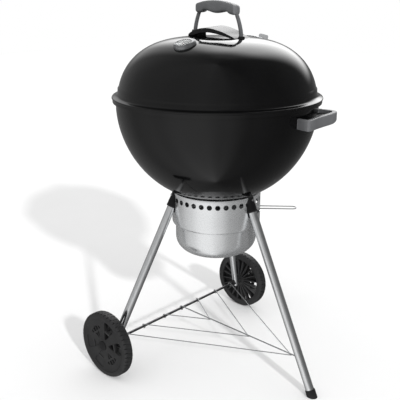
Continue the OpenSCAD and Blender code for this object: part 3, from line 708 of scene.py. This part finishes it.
# ---------------------------------------------------------------- ash catcher
RING_R, RING_Z0, RING_Z1, BUCKET_R, BUCKET_Z = 0.129, 0.436, 0.536, 0.119, 0.350
rp = [(RING_R - 0.0012, RING_Z1), (RING_R - 0.0003, RING_Z1 + 0.0001), (RING_R, RING_Z1 - 0.0006)]
rp += [(RING_R, RING_Z1 - 0.0006 - 0.0914 * k / 10) for k in range(1, 11)]
rp += [(RING_R - 0.0004, 0.4415), (RING_R - 0.0016, 0.4396), (RING_R - 0.0038, 0.4379),
       (RING_R - 0.0062, 0.4367),
       (BUCKET_R + 0.0016, RING_Z0), (BUCKET_R + 0.0016, RING_Z0 + 0.0015), (RING_R - 0.0066, 0.4382),
       (RING_R - 0.0045, 0.4394), (RING_R - 0.0028, 0.4408), (RING_R - 0.0016, 0.4430),
       (RING_R - 0.0015, 0.4460)]
ring = add("ash-ring", *lathe(rp, 280, (0, AXIS_Y), closed=True), ASH_ALU, "stand", ["ash_ring"],
           "ash_aluminium", 40)
cuts = []
for i in range(35):
    a = math.radians(223.3 + 360 * i / 35)
    m = Matrix.Translation((0, AXIS_Y, FOOT_TOP)) @ Matrix.Rotation(a, 4, "Z") @ Matrix.Rotation(PI / 2, 4, "Y")
    cuts.append(cylinder_at(m, 0.0074, 0.118, 0.140, 32))
hole_cut = cutter(joined(*cuts))
leg_cut = cutter(joined(*[cylinder_at(line_frame(top, foot), 0.0158, -0.06, 0.07, 48)
                          for top, foot, short in LEGS.values()]))
slot_out = []
for r, order in ((0.124, range(25)), (0.134, range(24, -1, -1))):
    for i in order:
        a = math.radians(-84 + 68 * i / 24)
        slot_out.append((r * COS(a), AXIS_Y + r * SIN(a)))
slot_cut = cutter(prism(slot_out, 0.475, 0.485))
cut(ring, [hole_cut, leg_cut, slot_cut], 40)

CORNER, WALL = 0.046, 0.0015
bp = [(0.0, BUCKET_Z)]
bp += [(BUCKET_R - CORNER + CORNER * COS(math.radians(a)), BUCKET_Z + CORNER + CORNER * SIN(math.radians(a)))
       for a in range(-90, 1, 5)]
bp += [(BUCKET_R, 0.410), (BUCKET_R, 0.425), (BUCKET_R, 0.440), (BUCKET_R, 0.4512),
       (BUCKET_R - 0.0005, 0.452),
       (BUCKET_R - 0.0011, 0.452), (BUCKET_R - WALL, 0.4512)]
bp += [(BUCKET_R - CORNER + (CORNER - WALL) * COS(math.radians(a)),
        BUCKET_Z + CORNER + (CORNER - WALL) * SIN(math.radians(a))) for a in range(0, -91, -5)]
bp += [(0.0, BUCKET_Z + WALL)]
add("ash-bucket", *lathe(bp, 200, (0, AXIS_Y)), ASH_ALU, "ash_bucket", ["ash_bucket"], "ash_aluminium", 40)

# ---------------------------------------------------------------- foot cap
up_leg = line_frame(K(0, -FOOT_R, 0), K(0, -0.125, FOOT_TOP))
cap_p = [(0.0, -0.02), (0.0142, -0.02), (0.0142, 0.0165), (0.0139, 0.0192), (0.0132, 0.0202), (0.0122, 0.0204),
         (0.0122, 0.012), (0.0, 0.012)]
foot = add("foot-cap", *placed(lathe(cap_p, 56), up_leg), BLACK_PLASTIC, "stand", ["foot_cap"],
           "black_plastic", 35)
below = placed(prism(rounded(0.1, 0.1, 0.01), -0.1, 0.0), Matrix.Translation(K(0, -FOOT_R, 0)))
cut(foot, [cutter(below)], 35)


# ---------------------------------------------------------------- wheels
WHEEL_W = 0.0346
WEB0, WEB1 = 0.0170, 0.0298


def wheel_section():
    """Half section of the moulded wheel, inner face on z = 0: rim, web and hub in one outline."""
    w = WHEEL_W
    return [(0.0042, 0.0002), (0.0165, 0.0002), (0.0172, 0.0009), (0.0178, WEB0 - 0.002), (0.0200, WEB0),
            (0.0440, WEB0), (0.0445, WEB0 - 0.0030), (0.0452, WEB0 - 0.0034), (0.0478, WEB0 - 0.0034),
            (0.0485, WEB0 - 0.0030), (0.0490, WEB0), (0.0735, WEB0), (0.0755, WEB0 - 0.002), (0.0765, 0.0060),
            (0.0775, 0.0022), (0.0800, 0.0012), (0.0880, 0.0008), (0.0925, 0.0014), (0.0960, 0.0032),
            (0.0978, 0.0062), (0.0983, 0.0100), (0.0983, 0.0173), (0.0983, w - 0.0100), (0.0978, w - 0.0062),
            (0.0960, w - 0.0034), (0.0930, w - 0.0018), (0.0900, w - 0.0008), (0.0850, w - 0.0004),
            (0.0835, w - 0.0008), (0.0826, w - 0.0022), (0.0815, WEB1 + 0.0014), (0.0800, WEB1 + 0.0005),
            (0.0780, WEB1), (0.0300, WEB1 + 0.0006), (0.0215, WEB1 + 0.0012), (0.0195, w - 0.0028),
            (0.0185, w - 0.0018), (0.0170, w - 0.0012), (0.0042, w - 0.0012)]


def star_plans():
    """Plan outlines of one cluster: three small windows either side of a thin rib."""
    rows = []
    for s in (-1, 1):
        rows.append([(0.0250, s * 0.0018), (0.0420, s * 0.0018), (0.0440, s * 0.0105)][::s])
        rows.append([(0.0470, s * 0.0018), (0.0640, s * 0.0018), (0.0585, s * 0.0115),
                     (0.0490, s * 0.0100)][::s])
        rows.append([(0.0480, s * 0.0150), (0.0600, s * 0.0165), (0.0540, s * 0.0225),
                     (0.0480, s * 0.0215)][::s])
    return rows


def open_plans():
    """Plan outlines of one open window: a wide one over a small one, with a bar between."""
    return [[(0.0475, -0.0125), (0.0600, -0.0185), (0.0735, -0.0200), (0.0765, -0.0130), (0.0768, 0.0120),
             (0.0735, 0.0195), (0.0600, 0.0175), (0.0475, 0.0115)],
            [(0.0225, -0.0030), (0.0440, -0.0118), (0.0440, 0.0108), (0.0225, 0.0030)]]


def wheel(name, side, node):
    m = Matrix.Translation(K(side * AXLE_END, AXLE_BACK, AXLE_Z)) @ Matrix.Rotation(side * PI / 2, 4, "Y")
    body = name.replace("-", "_")
    ob = add(name, *placed(lathe(wheel_section(), 180, closed=True), m), WHEEL, body, [node], "black_plastic", 35)
    cuts = []
    # Two open windows, two clusters, and two shallow blind panels
    through, blind = WEB0 - 0.006, WEB1 - 0.0014
    for turn, plans, low in ((-20, open_plans(), through), (-80, open_plans(), through),
                             (40, star_plans(), through), (-140, star_plans(), through),
                             (160, open_plans(), blind), (100, open_plans(), blind)):
        rot = Matrix.Rotation(math.radians(turn), 4, "Z")
        for plan in plans:
            cuts.append(placed(prism(plan, low, WHEEL_W + 0.004), rot))
    windows = cutter(placed(joined(*cuts), m))
    coarse = [(-0.0032, -0.0018), (0.003, -0.0018), (0.003, 0.0018), (-0.0032, 0.0018)]
    fine = [(-0.0016, -0.0007), (0.003, -0.0007), (0.003, 0.0007), (-0.0016, 0.0007)]
    notches = []
    for i in range(45):
        for z0, off in ((-0.002, 0.0), (0.0236, 4.0)):
            spot = Matrix.Rotation(math.radians(8 * i + off), 4, "Z") @ Matrix.Translation((0.0985, 0, z0))
            notches.append(placed(prism(coarse, 0.0, 0.013), spot))
        spot = Matrix.Rotation(math.radians(8 * i + 2), 4, "Z") @ Matrix.Translation((0.0985, 0, 0.0))
        notches.append(placed(prism(fine, 0.0125, 0.0225), spot))
    cut(ob, [windows, cutter(placed(joined(*notches), m))], 35)
    # Radial ribs that stiffen the hollow back, each a tapered plate of its own
    ribs = []
    for k in range(20):
        a = math.radians(18 * k + 9)
        plate = ([(0.0174, -0.0012, 0.0015), (0.0174, 0.0012, 0.0015), (0.0768, 0.0012, 0.0040),
                  (0.0768, -0.0012, 0.0040), (0.0174, -0.0015, WEB0 + 0.002), (0.0174, 0.0015, WEB0 + 0.002),
                  (0.0768, 0.0015, WEB0 + 0.002), (0.0768, -0.0015, WEB0 + 0.002)],
                 [(0, 3, 2, 1), (4, 5, 6, 7), (0, 1, 5, 4), (1, 2, 6, 5), (2, 3, 7, 6), (3, 0, 4, 7)])
        ribs.append(placed(plate, Matrix.Rotation(a, 4, "Z")))
    add(name + "-ribs", *placed(joined(*ribs), m), WHEEL, body, (), "black_plastic", 35)


wheel("wheel-left", -1, "wheel_left")
wheel("wheel-right", 1, "wheel_right")
for side, name in ((-1, "left"), (1, "right")):
    m = (Matrix.Translation(K(side * (AXLE_END + CAP_OUT), AXLE_BACK, AXLE_Z))
         @ Matrix.Rotation(side * PI / 2, 4, "Y"))
    hp = [(0.0, 0.0044), (0.0041, 0.0044), (0.0041, -0.001), (0.0148, -0.001), (0.0151, 0.0004),
          (0.0149, 0.0020),
          (0.0140, 0.0034), (0.0118, 0.0046), (0.0080, 0.0053), (0.0040, 0.0055), (0.0, 0.0056)]
    add("hubcap-" + name, *placed(lathe(hp, 48), m), BLACK_PLASTIC, "wheel_" + name, ["hubcap_" + name],
        "black_plastic", 35)

# ---------------------------------------------------------------- CAD nodes that stay
KEPT = {"bowl_handle_screws": SCREW_STEEL,
        "grate_brackets": DARK_STEEL, "leg_sockets": BLACK_STEEL, "leg_plugs": BLACK_PLASTIC, "axle": DARK_STEEL,
        "axle_spacers": BLACK_PLASTIC, "rack_spine": WIRE_STEEL, "rack_wire_inner": WIRE_STEEL,
        "rack_wire_middle": WIRE_STEEL, "rack_wire_outer": WIRE_STEEL, "charcoal_grate": DARK_STEEL,
        "cooking_grate": GRATE_STEEL, "sweeper_shaft": DARK_STEEL, "sweeper_blades": DARK_STEEL,
        "vent_lever": WIRE_STEEL, "grate_flap_left": GRATE_STEEL, "grate_flap_right": GRATE_STEEL,
        "lid_handle_nuts": SCREW_STEEL, "thermometer_stem": SCREW_STEEL, "thermometer_needle": NEEDLE,
        "damper_rivet": SCREW_STEEL}
for node, mat in KEPT.items():
    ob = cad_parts[node]
    for s in ob.material_slots:
        s.material = mat
    if not ob.material_slots:
        ob.data.materials.append(mat)

# ---------------------------------------------------------------- floor, light and camera
floor_mat, tree, bsdf = node_tree("floor-white")
tree.links.new(ramp(tree, noise_of(tree, 3.0), [(0.3, (0.835, 0.835, 0.835)), (0.7, (0.850, 0.850, 0.850))]),
               bsdf.inputs["Base Color"])
bsdf.inputs["Roughness"].default_value = 0.9
bsdf.inputs["Specular IOR Level"].default_value = 0.0
floor = add("floor", [(-9, -9, 0), (9, -9, 0), (9, 9, 0), (-9, 9, 0)], [(0, 1, 2, 3)], floor_mat, None)
floor.location.z = -0.0002
floor.visible_glossy = False

world = bpy.data.worlds.new("studio")
bpy.context.scene.world = world
world.use_nodes = True


def studio(nt):
    """Plain white for every ray but glossy ones, which see a soft box and pale panels."""
    N, L = nt.nodes, nt.links

    def math_(op, a, b=None):
        n = N.new("ShaderNodeMath")
        n.operation = op
        for i, v in enumerate((a, b)):
            if v is None:
                continue
            if isinstance(v, (int, float)):
                n.inputs[i].default_value = v
            else:
                L.new(v, n.inputs[i])
        return n.outputs[0]

    def curve(fac, stops):
        r = N.new("ShaderNodeValToRGB")
        r.color_ramp.interpolation = "EASE"
        el = r.color_ramp.elements
        while len(el) < len(stops):
            el.new(0.5)
        for e, (p, v) in zip(el, stops):
            e.position = p
            e.color = (v, v, v, 1)
        L.new(fac, r.inputs["Fac"])
        return r.outputs["Color"]

    co = N.new("ShaderNodeTexCoord")
    turn = N.new("ShaderNodeVectorRotate")
    turn.rotation_type = "Z_AXIS"
    turn.inputs["Angle"].default_value = math.radians(-120)
    L.new(co.outputs["Generated"], turn.inputs["Vector"])
    xyz = N.new("ShaderNodeSeparateXYZ")
    L.new(turn.outputs["Vector"], xyz.inputs["Vector"])
    # Azimuth seen from 120 degrees, and elevation, both scaled to 0..1
    az = math_("ADD", math_("DIVIDE", math_("ARCTAN2", xyz.outputs["Y"], xyz.outputs["X"]), 2 * PI), 0.5)
    el_ = math_("ADD", math_("DIVIDE", math_("ARCSINE", xyz.outputs["Z"]), PI), 0.5)

    def at(deg):
        return ((deg - 120 + 180) % 360) / 360

    def up(deg):
        return (deg + 90) / 180

    high = curve(az, [(0.0, .15), (at(-10), .15), (at(60), .26), (at(95), .36), (at(150), .50),
                      (at(205), .54),
                      (at(225), .44), (at(250), .25), (at(275), .16), (1.0, .15)])
    low = curve(az, [(0.0, .15), (at(-10), .14), (at(60), .24), (at(110), .34), (at(150), .68),
                     (at(180), .98),
                     (at(205), .98), (at(230), .68), (at(260), .28), (1.0, .17)])
    upper = curve(el_, [(0.0, 0), (up(-9), 0), (up(3), 1), (1.0, 1)])
    mix = N.new("ShaderNodeMix")
    mix.data_type = "RGBA"
    L.new(upper, mix.inputs["Factor"])
    L.new(low, mix.inputs[6])
    L.new(high, mix.inputs[7])
    wide = curve(az, [(0.0, 0), (at(-12), 0), (at(20), 1), (at(36), 1), (at(60), .15), (at(78), 0), (1.0, 0)])
    tall = curve(el_, [(0.0, 0), (up(3), 0), (up(15), 1), (up(48), 1), (up(68), .1), (up(80), 0), (1.0, 0)])
    box = math_("MULTIPLY", math_("MULTIPLY", wide, tall), 3.4)
    shine = N.new("ShaderNodeVectorMath")
    shine.operation = "ADD"
    L.new(mix.outputs[2], shine.inputs[0])
    L.new(box, shine.inputs[1])
    path = N.new("ShaderNodeLightPath")
    pick = N.new("ShaderNodeMix")
    pick.data_type = "RGBA"
    L.new(path.outputs["Is Glossy Ray"], pick.inputs["Factor"])
    pick.inputs[6].default_value = (1, 1, 1, 1)
    L.new(shine.outputs[0], pick.inputs[7])
    bg = N["Background"]
    L.new(pick.outputs[2], bg.inputs["Color"])
    bg.inputs["Strength"].default_value = 1.0


studio(world.node_tree)


def sun(name, strength, azimuth, elevation, spread):
    """A sun lamp, angles in degrees, that polished faces don't mirror."""
    data = bpy.data.lights.new(name, "SUN")
    data.energy = strength
    data.angle = math.radians(spread)
    ob = bpy.data.objects.new(name, data)
    az, el = math.radians(azimuth), math.radians(elevation)
    ob.location = (3 * COS(az) * COS(el), 3 * SIN(az) * COS(el), 3 * SIN(el))
    ob.rotation_mode = "QUATERNION"
    ob.rotation_quaternion = (-ob.location).to_track_quat("-Z", "Y")
    ob.visible_glossy = False
    bpy.context.scene.collection.objects.link(ob)


sun("key-sun", 1.9, -112, 27.2, 3.0)

scene = bpy.context.scene
scene.view_settings.view_transform = "Standard"
scene.view_settings.look = "None"
cam_data = bpy.data.cameras.new("camera")
cam = bpy.data.objects.new("camera", cam_data)
scene.collection.objects.link(cam)
scene.camera = cam
SENSOR, LENS_PER_WIDTH = 36.0, 1.6531
cam_data.sensor_width = SENSOR
cam_data.lens = SENSOR * LENS_PER_WIDTH
cam_data.clip_start, cam_data.clip_end = 0.05, 60
cam.location = K(-1.3888, -1.2204, 1.0935)
cam.rotation_mode = "XYZ"
CAM_DOWN, CAM_YAW = 17.81, 42.78
cam.rotation_euler = (math.radians(90 - CAM_DOWN), 0, math.radians(CAM_YAW - 90))
